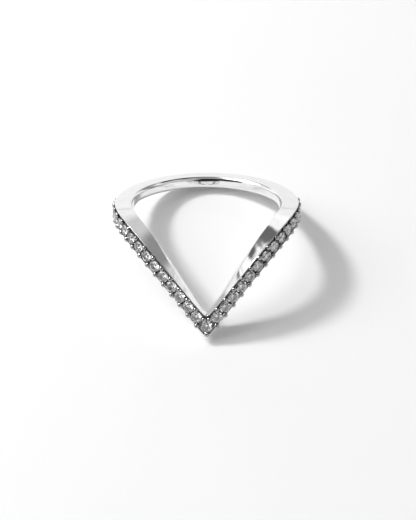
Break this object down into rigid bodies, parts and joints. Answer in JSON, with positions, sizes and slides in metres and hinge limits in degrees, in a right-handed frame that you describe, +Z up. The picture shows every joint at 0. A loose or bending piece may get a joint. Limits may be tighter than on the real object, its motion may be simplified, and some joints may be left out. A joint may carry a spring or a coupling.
{
  "type": "chevron ring",
  "caption": "V-shaped finger ring: a plain round shank, and two arms that sweep down to a point and are set with a row of round brilliant stones held by small beads.",
  "frame": {"origin": "middle of the ring's outline on the floor it rests on", "axes": "+Z up, -Y towards the point of the V, +X towards the right arm as seen from the point"},
  "size_m": [0.0214, 0.0242, 0.0086],
  "materials": {
    "white_metal": "mirror polished white precious metal",
    "stone": "clear and colourless, facet cut"
  },
  "bodies": {
    "root": {"band": "white_metal", "stone_tip": "stone", "stone_left_1": "stone", "stone_left_2": "stone", "stone_left_3": "stone", "stone_left_4": "stone", "stone_left_5": "stone", "stone_left_6": "stone", "stone_left_7": "stone", "stone_left_8": "stone", "stone_left_9": "stone", "stone_left_10": "stone", "stone_left_11": "stone", "stone_left_12": "stone", "stone_left_13": "stone", "stone_left_14": "stone", "stone_right_1": "stone", "stone_right_2": "stone", "stone_right_3": "stone", "stone_right_4": "stone", "stone_right_5": "stone", "stone_right_6": "stone", "stone_right_7": "stone", "stone_right_8": "stone", "stone_right_9": "stone", "stone_right_10": "stone", "stone_right_11": "stone", "stone_right_12": "stone", "stone_right_13": "stone", "stone_right_14": "stone"}
  },
  "joints": []
}
